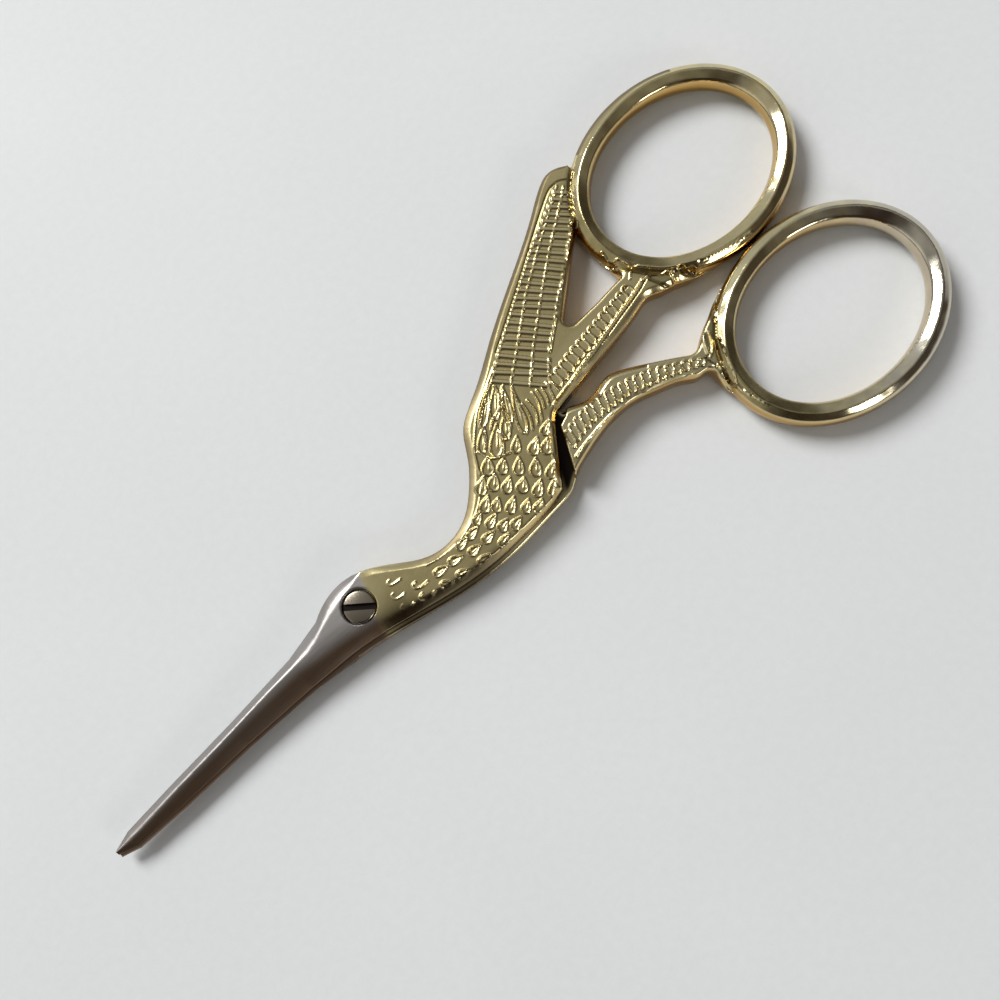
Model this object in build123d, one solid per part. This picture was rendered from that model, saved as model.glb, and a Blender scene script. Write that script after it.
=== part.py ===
from build123d import *
import os
from math import atan2, cos, hypot, radians, sin

# Stork embroidery scissors: two forged halves that turn on one slotted screw.
# The pivot axis is Z, and the origin is where it meets the resting plane.
# The finger rings lie towards +X and the blades towards -X.
# The front half is the upper one, and its ring is on the +Y side.

# Whole tool
blade_reach = 38.9
handle_reach = 61.65
half_thickness = 1.9
sliding_gap = 0.03
closing_gap = 0.08

# Finger rings
ring_hole_length = 23.3
ring_hole_width = 18.5
ring_bar = 2.7
ring_edge_radius = 1.0
ring_edge_limit_share = 0.48

# Blades
blade_width = 3.1
blade_tip_thickness = 0.5
spine_lead = 0.1
edge_lead = 0.35

# Head, neck, body, wing and legs
body_width = 10.7
plate_bevel = 0.7
body_rim = 0.65
hidden_inset = 0.35
step_reach = 32.0
step_gap = 0.2
foot_flare = 2.1
crotch_radius = 0.8
leg_root_radius = 1.5
wing_tip_stand = 3.3

# Pivot screw
screw_head_diameter = 3.86
screw_head_thickness = 0.85
screw_dome_height = 0.22
screw_slot_width = 0.72
screw_slot_depth = 0.5
screw_slot_angle = -39.0
screw_shoulder_diameter = 2.6
screw_thread_diameter = 2.1
head_clearance = 0.09
head_seat_gap = 0.04
shoulder_clearance = 0.04
thread_clearance = 0.02
counterbore_chamfer = 0.12
cut_overrun = 3.0

# Worked out from the sizes above
top = 2 * half_thickness
upper_face = half_thickness + sliding_gap
ring_half_length = ring_hole_length / 2 + ring_bar
ring_half_width = ring_hole_width / 2 + ring_bar
ring_side = ring_half_width + closing_gap / 2
half_plane = Plane.XY.offset(half_thickness)

# Shares of the handle's reach at which the outlines below place the step and the ring's edge
step_place_share = 0.519
ring_place_share = 0.767
leg_share = ring_place_share - step_place_share


def along(share):
    """Place along the handle, where the step and the ring's near edge keep their shares."""
    if share < step_place_share:
        return share / step_place_share * step_reach
    leg_run = handle_reach - ring_half_length - step_reach
    return step_reach + (share - step_place_share) / leg_share * leg_run


def body_points(shares):
    """Outline points of the head, neck and body, which follow the body's width."""
    return [(along(x), y * body_width) for x, y in shares]


def limb_points(shares):
    """Outline points of the wing and the legs, which follow the ring's distance from X."""
    return [(along(x), y * ring_side) for x, y in shares]


def ring_point(side, angle, outwards=0.0):
    """Point beside a ring's outer edge. Angles are mirrored, so both rings share them."""
    x = handle_reach + (ring_half_length + outwards) * cos(radians(angle))
    y = side * (ring_side + (ring_half_width + outwards) * sin(radians(angle)))
    return (x, y)


def foot_points(side, shares):
    """Outline points of a foot, as angles and shares of its flare beyond the ring."""
    return [ring_point(side, angle, share * foot_flare) for angle, share in shares]


def bar_point(side, angle):
    """Point on the middle line of a finger ring's bar."""
    return ring_point(side, angle, -ring_bar / 2)


def bar_middle(side, angles):
    """Curve along the middle line of a finger ring's bar."""
    return Spline(*[bar_point(side, angle) for angle in angles])


def shifted(points, distance):
    """Points moved sideways by a distance, to the left of the way they run."""
    moved = []
    for index, (x, y) in enumerate(points):
        before = points[max(index - 1, 0)]
        after = points[min(index + 1, len(points) - 1)]
        run_x, run_y = after[0] - before[0], after[1] - before[1]
        length = hypot(run_x, run_y)
        moved.append((x - run_y / length * distance, y + run_x / length * distance))
    return moved


def run(start, end):
    """Direction from one outline point to another."""
    return Vector(*end) - Vector(*start)


def stands_clear(edge):
    """Whether an outline edge lies outside the finger rings."""
    middle = edge @ 0.5
    along_x = (middle.X - handle_reach) / ring_half_length
    along_y = (abs(middle.Y) - ring_side) / ring_half_width
    return hypot(along_x, along_y) > 1


# Outline of the front half. Pairs are a place along the handle, as a share of its reach, and a
# share of the body's width, or, in the wing and the legs, of the ring's distance from X.
neck_left_shares = [
    (-0.081, 0.215), (-0.034, 0.320), (0.004, 0.337), (0.042, 0.285), (0.105, 0.073),
    (0.154, -0.098), (0.198, -0.143), (0.247, -0.072), (0.294, 0.137), (0.331, 0.395),
    (0.360, 0.645), (0.395, 0.780), (0.440, 0.920),
]
wing_left_shares = [(0.500, 1.0155), (0.625, 1.377), (0.733, 1.689)]
neck_right_shares = [
    (0.4185, -0.556), (0.386, -0.594), (0.311, -0.624), (0.247, -0.629), (0.178, -0.589),
    (0.093, -0.488), (0.010, -0.375), (-0.081, -0.300),
]
crotch_corner_share = (0.611, 0.590)
leg_top_shares = [(0.700, 0.597), (0.722, 0.605)]
leg_low_shares = [(0.754, 0.275), (0.694, 0.217)]
leg_root_corner_share = (0.505, 0.083)
# Pairs here are an angle on the ring and a share of how far the wing tip stands out.
wing_tip_shares = [(137.0, 1.0), (133.0, 0.86), (130.0, 0.62), (128.0, 0.30), (126.5, 0.0)]
# Pairs here are an angle on the ring and a share of the foot's flare.
foot_outer_shares = [(201.0, 0.35), (197.5, 0.23), (193.0, 0.14), (187.0, 0.0)]
foot_inner_shares = [
    (246.0, 0.0), (238.0, 0.22), (231.0, 0.37), (225.5, 0.57), (221.0, 0.84), (217.0, 1.06),
]
wing_side_angles = (126.5, 133.0, 140.0, 147.0)
foot_bar_angles = (187.0, 205.0, 225.0, 246.0)

# Outline of the back half, where it isn't the front half's moved by a margin.
# The arc's points give directions only: their distance from the pivot is the step's reach.
back_arc_shares = [(0.4855, 1.052), (0.511, 0.560), (0.519, 0.0625)]
back_leg_top_shares = [
    (0.540, 0.022), (0.556, -0.018), (0.578, -0.033), (0.603, -0.003), (0.622, 0.007),
    (0.642, -0.025), (0.696, -0.185), (0.744, -0.341), (0.768, -0.402),
]
back_foot_inner_shares = [
    (215.0, 0.74), (221.0, 0.51), (225.0, 0.34), (231.0, 0.21), (238.0, 0.10), (246.0, 0.0),
]
back_foot_outer_shares = [(184.0, 0.0), (190.0, 0.22), (196.0, 0.36), (199.5, 0.53)]
back_leg_low_shares = [
    (0.744, -0.610), (0.712, -0.517), (0.675, -0.438), (0.637, -0.367), (0.594, -0.333),
]
back_belly_shares = [(0.536, -0.407), (0.480, -0.486), (0.456, -0.537), (0.436, -0.605)]
back_foot_bar_angles = (246.0, 225.0, 205.0, 184.0)
step_shares = [(0.430, -0.800), (0.4955, -0.047), (0.513, -0.010), (0.530, 0.080), (0.530, 0.500)]


def front_outline():
    """Head, neck, body, wing, leg and foot of the front half, up to the ring's bar."""
    tip = [ring_point(1, angle, share * wing_tip_stand) for angle, share in wing_tip_shares]
    left = body_points(neck_left_shares) + limb_points(wing_left_shares) + tip
    crotch = limb_points([crotch_corner_share])[0]
    leg_top = limb_points(leg_top_shares) + foot_points(1, foot_outer_shares[:1])
    leg_low = foot_points(1, foot_inner_shares) + limb_points(leg_low_shares)
    root = limb_points([leg_root_corner_share])[0]
    right = body_points(neck_right_shares)
    return [
        Spline(*left),
        Line(left[-1], bar_point(1, wing_side_angles[0])),
        bar_middle(1, wing_side_angles),
        FilletPolyline(bar_point(1, wing_side_angles[-1]), crotch, leg_top[0], radius=crotch_radius),
        Spline(*leg_top, tangents=[run(crotch, leg_top[0]), run(*leg_top[-2:])]),
        Spline(*foot_points(1, foot_outer_shares)),
        Line(ring_point(1, foot_bar_angles[0]), bar_point(1, foot_bar_angles[0])),
        bar_middle(1, foot_bar_angles),
        Line(bar_point(1, foot_bar_angles[-1]), leg_low[0]),
        Spline(*leg_low, tangents=[run(*leg_low[:2]), run(leg_low[-1], root)]),
        FilletPolyline(leg_low[-1], root, right[0], radius=leg_root_radius),
        Spline(*right),
        Line(right[-1], left[0]),
    ]


def back_outline():
    """Head, under-body, leg and foot of the back half, up to the ring's bar."""
    turns = [atan2(y, x) for x, y in body_points(back_arc_shares)]
    arc = [(step_reach * cos(turn), step_reach * sin(turn)) for turn in turns]
    left = shifted(body_points(neck_left_shares), -hidden_inset) + arc[:1]
    inner = foot_points(-1, back_foot_inner_shares)
    outer = foot_points(-1, back_foot_outer_shares)
    leg_top = arc[-1:] + limb_points(back_leg_top_shares) + inner
    belly = body_points(back_belly_shares) + shifted(body_points(neck_right_shares), body_rim)[1:]
    leg_low = outer + limb_points(back_leg_low_shares) + belly
    return [
        Spline(*left),
        ThreePointArc(*arc),
        Spline(*leg_top),
        Line(inner[-1], bar_point(-1, back_foot_bar_angles[0])),
        bar_middle(-1, back_foot_bar_angles),
        Line(bar_point(-1, back_foot_bar_angles[-1]), outer[0]),
        Spline(*leg_low),
        Line(leg_low[-1], left[0]),
    ]


def bevelled_plate(curves, low, high, bevel_top, bevel_in_ring):
    """Plate between two heights. The edges of its outer face are bevelled, but not at the blade."""
    plate = Pos(0, 0, low) * extrude(make_face(curves), amount=high - low)
    outer_face = plate.faces().sort_by(Axis.Z)[-1 if bevel_top else 0]
    edges = outer_face.outer_wire().edges().sort_by(Axis.X)[1:]
    return chamfer(edges if bevel_in_ring else edges.filter_by(stands_clear), plate_bevel)


def finger_ring(side):
    """Oval finger ring with a rounded bar."""
    outline = Ellipse(ring_half_length, ring_half_width)
    outline -= Ellipse(ring_hole_length / 2, ring_hole_width / 2)
    ring = extrude(outline, amount=top)
    radius = min(ring_edge_radius, ring_bar * ring_edge_limit_share)
    ring = fillet(ring.faces().sort_by(Axis.Z)[-1].edges(), radius)
    ring = fillet(ring.faces().sort_by(Axis.Z)[0].edges(), radius)
    return Pos(handle_reach, side * ring_side, 0) * ring


# Stations of the front blade from its root to its tip. The first number is a share of the
# blade's reach. The next four are the cutting edge, the ridge's two sides and the spine, as
# shares of the blade's width. The last is the thickness, from the tip's, 0, to the plate's, 1.
blade_stations_share = [
    (0.260, 0.430, 0.125, -0.420, -0.925, 0.790),
    (0.514, 0.180, -0.065, -0.255, -0.825, 0.530),
    (0.771, 0.000, -0.225, -0.370, -0.840, 0.270),
    (0.941, -0.150, -0.345, -0.440, -0.780, 0.080),
    (1.000, -0.370, -0.425, -0.470, -0.560, 0.000),
]
cutting_edge_height_share = 0.18
spine_height_share = 0.38


def blade_section(reach, ys, thickness, edge_heights, face, outwards):
    """Cross-section of a blade, standing up or down from its sliding face."""
    left, ridge_left, ridge_right, right = ys
    left_height, right_height = edge_heights
    corners = [
        (left, 0), (left, left_height), (ridge_left, thickness),
        (ridge_right, thickness), (right, right_height), (right, 0),
    ]
    points = [(-reach, y, face + outwards * height) for y, height in corners]
    return make_face(Polyline(*points, close=True))


def blade(front):
    """Tapering blade. The back blade is the front one turned over, a little to each side."""
    outwards = 1 if front else -1
    face = upper_face if front else half_thickness
    plate = top - upper_face if front else half_thickness
    root_x = -along(neck_left_shares[0][0])
    left = neck_left_shares[0][1] * body_width - (0 if front else hidden_inset)
    right = neck_right_shares[-1][1] * body_width - (0 if front else body_rim)
    root_ys = (left, left - plate_bevel, right + plate_bevel, right)
    sections = [blade_section(root_x, root_ys, plate, [plate - plate_bevel] * 2, face, outwards)]
    for reach, edge, ridge_left, ridge_right, spine, thick in blade_stations_share:
        thickness = blade_tip_thickness + thick * (plate - blade_tip_thickness)
        heights = [thickness * cutting_edge_height_share, thickness * spine_height_share]
        ys = [y * blade_width for y in (edge, ridge_left, ridge_right, spine)]
        if not front:
            middle = ys[0] + ys[3]
            ys = [ys[0] + spine_lead, middle - ys[2], middle - ys[1], ys[3] - edge_lead]
            heights.reverse()
        sections.append(blade_section(reach * blade_reach, ys, thickness, heights, face, outwards))
    return loft(sections, ruled=True)


def upright_cylinder(diameter, low, high):
    """Round bar or hole along the pivot axis, between two heights."""
    return Pos(0, 0, low) * extrude(Circle(diameter / 2), amount=high - low)


def front_half():
    """Upper forging: blade, neck, body, wing, leg and finger ring."""
    upper = bevelled_plate(front_outline(), upper_face, top, True, True)
    lower = mirror(bevelled_plate(front_outline(), half_thickness, top, True, True), half_plane)
    lower -= upright_cylinder(2 * (step_reach + step_gap), -cut_overrun, half_thickness)
    filler = lower.faces().sort_by(Axis.Z)[-1]
    lower += extrude(filler, amount=sliding_gap)
    half = upper + lower + finger_ring(1) + blade(True)
    hole = screw_shoulder_diameter + 2 * shoulder_clearance
    sink = screw_head_diameter + 2 * head_clearance
    sink_floor = top - screw_head_thickness - head_seat_gap
    half -= upright_cylinder(hole, -cut_overrun, top + cut_overrun)
    half -= upright_cylinder(sink, sink_floor, top + cut_overrun)
    circles = half.edges().filter_by(GeomType.CIRCLE)
    rims = circles.filter_by(lambda edge: abs(edge.radius - sink / 2) < head_clearance)
    return chamfer(rims.sort_by(Axis.Z)[-1], counterbore_chamfer)


def back_half():
    """Lower forging: blade, under-body, leg and finger ring."""
    lower = bevelled_plate(back_outline(), 0, half_thickness, False, False)
    upper = mirror(lower, half_plane)
    step = body_points(step_shares)
    far = handle_reach + ring_half_length
    field = step + [(far, step[-1][1]), (far, -far), (step[0][0], -far)]
    upper &= extrude(make_face(Polyline(*field, close=True)), amount=top + cut_overrun)
    half = lower + upper + finger_ring(-1) + blade(False)
    hole = screw_thread_diameter + 2 * thread_clearance
    return half - upright_cylinder(hole, -cut_overrun, top)


def pivot_screw():
    """Slotted screw: domed head, plain shoulder that is the hinge pin, and shank."""
    head_radius = screw_head_diameter / 2
    crown = top + screw_dome_height
    dome = ThreePointArc((head_radius, top), (0, crown), (-head_radius, top)).trim(0, 0.5)
    profile = Polyline(
        (0, crown), (0, 0), (screw_thread_diameter / 2, 0),
        (screw_thread_diameter / 2, half_thickness), (screw_shoulder_diameter / 2, half_thickness),
        (screw_shoulder_diameter / 2, top - screw_head_thickness),
        (head_radius, top - screw_head_thickness), (head_radius, top),
    )
    section = make_face([dome, profile])
    screw = revolve(Plane.XZ * section, Axis.Z)
    slot = Rectangle(2 * screw_head_diameter, screw_slot_width)
    slot = extrude(Rot(0, 0, screw_slot_angle) * slot, amount=cut_overrun)
    return screw - Pos(0, 0, top - screw_slot_depth) * slot


os.makedirs("parts", exist_ok=True)
for name, shape in (
    ("front_half", front_half()),
    ("back_half", back_half()),
    ("pivot_screw", pivot_screw()),
):
    export_step(shape, f"parts/{name}.step")
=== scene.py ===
"""Stork embroidery scissors: the looks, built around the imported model."""
import math

import bmesh
import bpy
import numpy as np
from mathutils import Matrix, Vector, kdtree
from mathutils.geometry import delaunay_2d_cdt


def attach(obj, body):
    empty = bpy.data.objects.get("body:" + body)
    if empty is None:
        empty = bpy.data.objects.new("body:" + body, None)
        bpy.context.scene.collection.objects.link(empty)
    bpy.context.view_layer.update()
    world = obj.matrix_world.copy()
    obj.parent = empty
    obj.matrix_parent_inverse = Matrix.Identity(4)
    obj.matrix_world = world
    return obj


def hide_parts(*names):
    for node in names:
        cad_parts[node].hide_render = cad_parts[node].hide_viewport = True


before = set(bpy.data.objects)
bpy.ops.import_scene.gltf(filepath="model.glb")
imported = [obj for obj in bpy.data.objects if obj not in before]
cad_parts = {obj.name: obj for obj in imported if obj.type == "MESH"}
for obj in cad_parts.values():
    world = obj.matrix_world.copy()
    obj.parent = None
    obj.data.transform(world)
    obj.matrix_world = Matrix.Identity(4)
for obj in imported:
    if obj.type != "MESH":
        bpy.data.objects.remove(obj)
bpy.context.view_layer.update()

MM = 0.001

# The camera stands above the sheet and leans a little. In pixels of a 1000 x 1000 picture:
# NADIR is straight below it, and PIVOT is the pivot. TURN is how the bird lies in the picture.
FOCAL = 1059.0
CENTRE = 500.0
NADIR = (609.0, 651.0)
PIVOT = (362.8, 607.5)
TURN = math.radians(42.79)
SENSOR = 36.0

# The size of a pixel in the part's middle plane, mm.
PIXEL_MM = 0.1125

# Heights of the real surfaces, mm. PARTING is where the upper half's flat face lies.
MID = 1.9
TOP = 3.8
PARTING = 1.93
PARTING_BACK = 1.87
FIELD = 3.55

# The arc round the pivot where the upper half reaches down past the parting, mm.
ARC = 32.21
STEP_WALL = 0.03

# Rings, mm.
RING_X = 61.65
RING_Y = 11.99
HOLE_HALF = (11.65, 9.25)
RING_BAR = 2.7
RING_CREST = 1.46
RING_WAVES = 0.006

# Screw and its seat, mm.
SEAT_RADIUS = 2.02
SEAT_FLOOR = 2.91
SEAT_RIM = 0.13
SCREW_RADIUS = 1.88
SCREW_EDGE = 3.76
SCREW_DOME = 0.16
SLOT_WIDTH = 0.72
SLOT_DEPTH = 0.5
SLOT_TURN = math.radians(-39.0)
SHOULDER_RADIUS = 1.3
SHANK_RADIUS = 1.05
SEAT_BEVEL = 0.16
SCREW_CIRCLES = (0.3, 0.6, 0.9, 1.2, 1.45, 1.65, 1.78, 1.86, 1.91)

# Heights at which the solids are cut for their outlines, mm.
FRONT_CUT = 1.96
BACK_CUTS = (1.85, 2.05)

# Mesh steps, mm.
EDGE_STEP = 0.13
FINE_STEP = 0.1
PLAIN_STEP = 0.15
INSETS = (0.03, 0.08, 0.15, 0.25, 0.38, 0.55, 0.75)
CLEAR_OF_LINES = 0.05

# Where a half changes along its length: x, mm.
BLADE_TO_PLATE = (2.0, 7.5)
BLADE_END = 8.0
PLATE_END = 52.5
RING_START = 40.0
RING_METAL_START = 42.0

# Plan areas, mm: the lower and upper bound of the ornament, (x, y) each, and two corners
# round the gap behind the body.
DECORATED_LOW = ((2, 12, 24, 30, 50), (-6.0, -9.0, -8.0, -6.0, -6.5))
DECORATED_HIGH = ((2, 12, 18, 24, 52), (4.0, 1.0, 3.0, 9.5, 24.0))
BODY_GAP = ((23.0, -6.2), (34.0, 2.8))

# The ornament, mm.
FEATHER_HEIGHT = 0.22
RIB_HEIGHT = 0.2
RIM_HALF = 0.14
BAR_WIDTH = 0.62
BAR_SIDE = 0.55
BEAD_REACH = 0.15

# Ribs of the legs: gap, width and greatest length in pixels.
FRONT_RIBS = (9.05, 8.6, 16.5)
BACK_RIBS = (8.2, 7.2, 19.0)


def unit(values):
    values = np.array(values, float)
    return values / np.linalg.norm(values)


down = unit(((NADIR[0] - CENTRE) / FOCAL, (CENTRE - NADIR[1]) / FOCAL, -1.0))
right = unit(np.array((1.0, 0.0, 0.0)) - down * down[0])
upward = np.cross(-down, right)


def sheet_place(pixels):
    """Where the ray of each pixel meets the middle plane, in pixels from the camera's foot."""
    pixels = np.atleast_2d(np.array(pixels, float))
    depth = -np.ones(len(pixels))
    rays = np.stack(((pixels[:, 0] - CENTRE) / FOCAL, (CENTRE - pixels[:, 1]) / FOCAL, depth), 1)
    rays /= (rays @ down)[:, None]
    return np.stack((rays @ right, rays @ upward), 1) * FOCAL


pivot_place = sheet_place(PIVOT)[0]


def turned(places, angle):
    """Plan points turned clockwise by an angle."""
    along = places[:, 0] * math.cos(angle) + places[:, 1] * math.sin(angle)
    across = places[:, 1] * math.cos(angle) - places[:, 0] * math.sin(angle)
    return np.stack((along, across), 1)


def from_photo(pixels, height=FIELD):
    """Plan points, in mm, of pixels of the picture on a surface at a height in mm."""
    closer = 1 - (height - MID) / (FOCAL * PIXEL_MM)
    return turned(sheet_place(pixels) * closer - pivot_place, TURN) * PIXEL_MM


def smooth_step(value, low, high):
    """Eases from 0 at low to 1 at high. Low may be the greater of the two."""
    share = np.clip((value - low) / (high - low), 0.0, 1.0)
    return share * share * (3.0 - 2.0 * share)


def bump(share):
    """A rounded rise: 1 in the middle, 0 from 1 outwards."""
    return np.where(share < 1.0, 0.5 + 0.5 * np.cos(np.pi * np.minimum(share, 1.0)), 0.0)


def soft_min(first, second, blur):
    """The lesser of two heights, rounded where they cross."""
    part = np.clip(0.5 + 0.5 * (second - first) / blur, 0.0, 1.0)
    return second * (1 - part) + first * part - blur * part * (1 - part)


def soft_max(first, second, blur):
    return -soft_min(-first, -second, blur)


def section_loops(node, height):
    """The closed outlines, in mm, of a node cut level at a height in mm."""
    cut = bmesh.new()
    cut.from_mesh(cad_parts[node].data)
    bmesh.ops.remove_doubles(cut, verts=cut.verts[:], dist=1e-7)
    whole = cut.verts[:] + cut.edges[:] + cut.faces[:]
    level = Vector((0, 0, height * MM))
    found = bmesh.ops.bisect_plane(cut, geom=whole, plane_co=level, plane_no=(0, 0, 1))
    edges = [item for item in found["geom_cut"] if isinstance(item, bmesh.types.BMEdge)]
    beside = {}
    for edge in edges:
        one, other = edge.verts
        beside.setdefault(one, []).append(other)
        beside.setdefault(other, []).append(one)
    loops, seen = [], set()
    for start in beside:
        if start in seen:
            continue
        loop, here = [], start
        while here is not None:
            seen.add(here)
            loop.append((here.co.x / MM, here.co.y / MM))
            here = next((vert for vert in beside[here] if vert not in seen), None)
        loops.append(np.array(loop))
    cut.free()
    return loops


def loop_area(loop):
    """The area of a loop: below 0 where it runs clockwise."""
    after = np.roll(loop, -1, axis=0)
    return 0.5 * float(np.sum(loop[:, 0] * after[:, 1] - after[:, 0] * loop[:, 1]))


def thinned(loop, least):
    """A loop without the points that are too close to the last one."""
    kept = [loop[0]]
    for point in loop[1:]:
        if np.linalg.norm(point - kept[-1]) >= least:
            kept.append(point)
    return np.array(kept)


def stepped(loop, step, closed=True):
    """A line with its corners kept and no gap longer than a step."""
    ends = np.roll(loop, -1, axis=0) if closed else loop[1:]
    runs = []
    for here, there in zip(loop, ends):
        count = max(1, math.ceil(np.linalg.norm(there - here) / step))
        runs.append(here + (there - here) * (np.arange(count) / count)[:, None])
    if not closed:
        runs.append(loop[-1:])
    return np.vstack(runs)


class Outline:
    """Closed loops in plan, the biggest one outermost, with distances from their edges."""

    def __init__(self, loops):
        loops = sorted(loops, key=lambda loop: -abs(loop_area(loop)))
        self.loops = []
        for index, loop in enumerate(loops):
            loop = thinned(loop, EDGE_STEP / 3)
            wanted = 1 if index == 0 else -1
            loop = loop if loop_area(loop) * wanted > 0 else loop[::-1]
            self.loops.append(stepped(loop, EDGE_STEP))
        self.dense = np.vstack([stepped(loop, EDGE_STEP / 4) for loop in self.loops])
        self.tree = kdtree.KDTree(len(self.dense))
        for index, (x, y) in enumerate(self.dense):
            self.tree.insert((x, y, 0.0), index)
        self.tree.balance()

    def nearest(self, points):
        """The distance of each point from the edge, and the place on the edge."""
        found = [self.tree.find((x, y, 0.0)) for x, y in points.tolist()]
        distance = np.array([item[2] for item in found])
        place = self.dense[[item[1] for item in found]]
        return distance, place

    def holds(self, points):
        """Which points lie inside the outline and outside its holes."""
        order = np.argsort(points[:, 1])
        ys, xs = points[order, 1], points[order, 0]
        odd = np.zeros(len(points), bool)
        for loop in self.loops:
            for (x0, y0), (x1, y1) in zip(loop.tolist(), np.roll(loop, -1, axis=0).tolist()):
                if y0 == y1:
                    continue
                first, last = np.searchsorted(ys, (min(y0, y1), max(y0, y1)))
                if first < last:
                    crossing = x0 + (ys[first:last] - y0) * (x1 - x0) / (y1 - y0)
                    odd[first:last] ^= xs[first:last] < crossing
        held = np.empty(len(points), bool)
        held[order] = odd
        return held

    def insets(self, distances):
        """Points inside the edge, in rows that follow it."""
        rows = []
        for loop in self.loops:
            lead = np.roll(loop, -1, axis=0) - np.roll(loop, 1, axis=0)
            lead /= np.maximum(np.linalg.norm(lead, axis=1), 1e-9)[:, None]
            inward = np.stack((-lead[:, 1], lead[:, 0]), 1)
            for distance in distances:
                row = loop + inward * distance
                away, _ = self.nearest(row)
                rows.append(row[away > distance * 0.97])
        points = np.vstack(rows)
        return points[self.holds(points)]


def line_distance(points, line):
    """The distance of each point from an open line, and how far along the line it is, 0 to 1."""
    best = np.full(len(points), 1e9)
    along = np.zeros(len(points))
    lengths = np.linalg.norm(np.diff(line, axis=0), axis=1)
    total, gone = lengths.sum(), 0.0
    for start, end, length in zip(line[:-1], line[1:], lengths):
        lead = end - start
        share = np.clip(((points - start) @ lead) / max(length * length, 1e-12), 0.0, 1.0)
        away = np.linalg.norm(points - start - share[:, None] * lead, axis=1)
        closer = away < best
        best = np.where(closer, away, best)
        along = np.where(closer, (gone + share * length) / total, along)
        gone += length
    return best, along


def near_line(points, line, reach):
    """Which points lie in the box around a line, wider by a reach."""
    low, high = line.min(0) - reach, line.max(0) + reach
    return np.nonzero(((points > low) & (points < high)).all(1))[0]


def rounded_line(points, rounds=2):
    """An open line with its corners cut back, ends kept."""
    line = np.array(points, float)
    for _ in range(rounds):
        near = line[:-1] * 0.75 + line[1:] * 0.25
        far = line[:-1] * 0.25 + line[1:] * 0.75
        middle = np.stack((near, far), 1).reshape(-1, 2)
        line = np.vstack((line[:1], middle, line[-1:]))
    return line


def photo_line(pixels):
    """A smooth line, in mm, through pixels of the picture."""
    return rounded_line(from_photo(pixels))


def shifted_line(line, shift):
    """A line moved sideways, to its left where the shift is positive."""
    lead = np.gradient(line, axis=0)
    lead /= np.linalg.norm(lead, axis=1)[:, None]
    return line + np.stack((-lead[:, 1], lead[:, 0]), 1) * shift


# The ornament, placed by pixels of the picture: (px, py) of each feather's middle.
NECK_AND_BODY_FEATHERS = (
    (441, 571), (447, 584),
    (456, 560), (463, 573), (475, 550), (485, 559), (463, 543), (473, 533), (489, 537),
    (505, 540), (478, 518), (492, 521), (504, 525), (517, 523), (486, 504), (497, 505),
    (512, 505), (527, 506), (540, 506), (482, 486), (494, 482), (508, 485), (523, 485),
    (539, 488), (554, 488), (488, 466), (503, 466), (519, 466), (536, 467), (552, 470),
    (535, 446), (547, 446), (546, 428),
)
FEATHER_TURNS = ((600, 18), (585, 24), (570, 32), (550, 42), (535, 54), (515, 68), (500, 76),
                 (480, 82), (440, 82))
FEATHER_SIZES = ((600, 14.0, 7.5), (560, 15.0, 8.5), (530, 15.5, 10.0), (500, 16.5, 11.0),
                 (475, 18.0, 12.5), (446, 17.0, 12.0), (428, 15.0, 10.5))
NECK_CRESCENTS = (
    ((391, 579), (387, 583), (390, 586), (396, 583), (402, 578)),
    ((395, 592), (391, 596), (395, 600), (401, 597), (406, 592)),
    ((404, 603), (400, 608), (403, 611), (410, 608), (415, 601)),
    ((417, 581), (412, 585), (415, 589), (422, 587), (429, 580)),
    ((424, 592), (419, 597), (422, 601), (429, 599), (436, 590)),
)
# Lines of the collars and toes: (pixels, width, height); a negative height is a groove.
FRONT_FOOT_LINES = (
    (((600, 250), (604, 256), (608, 262)), 0.3, 0.22),
    (((612, 262), (616, 259), (625, 262), (632, 268), (640, 266), (655, 268), (668, 268),
      (680, 265), (690, 262), (700, 260)), 0.36, 0.26),
    (((700, 260), (720, 252), (740, 240), (753, 230)), 0.3, 0.16),
    (((631, 270), (630, 280)), 0.3, 0.2),
    (((641, 280), (648, 275), (660, 275), (668, 270)), 0.3, 0.22),
    (((692, 277), (700, 272), (715, 267), (725, 262)), 0.3, 0.25),
    (((671, 270), (676, 283)), 0.6, 0.28),
    (((606, 265), (612, 268), (622, 276), (618, 279)), 0.4, -0.22),
    (((650, 279), (668, 286)), 0.5, -0.2),
    (((681, 267), (687, 271), (694, 268)), 1.0, -0.4),
)
BACK_FOOT_LINES = (
    (((701, 328), (704, 341), (709, 355)), 0.7, 0.2),
    (((709, 330), (712, 341), (713, 351), (710, 358)), 0.3, 0.25),
    (((719, 335), (722, 345), (728, 360), (735, 375), (737, 386), (750, 395), (770, 405)),
     0.34, 0.25),
    (((712, 365), (722, 368), (724, 378), (737, 390)), 0.3, 0.22),
    (((718, 300), (716, 312), (717, 323)), 0.3, 0.2),
    (((723, 371), (729, 378), (735, 389)), 0.4, -0.25),
    (((706, 357), (716, 364)), 0.4, -0.2),
    (((715, 338), (718, 350), (722, 360)), 0.4, -0.12),
)
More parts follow.
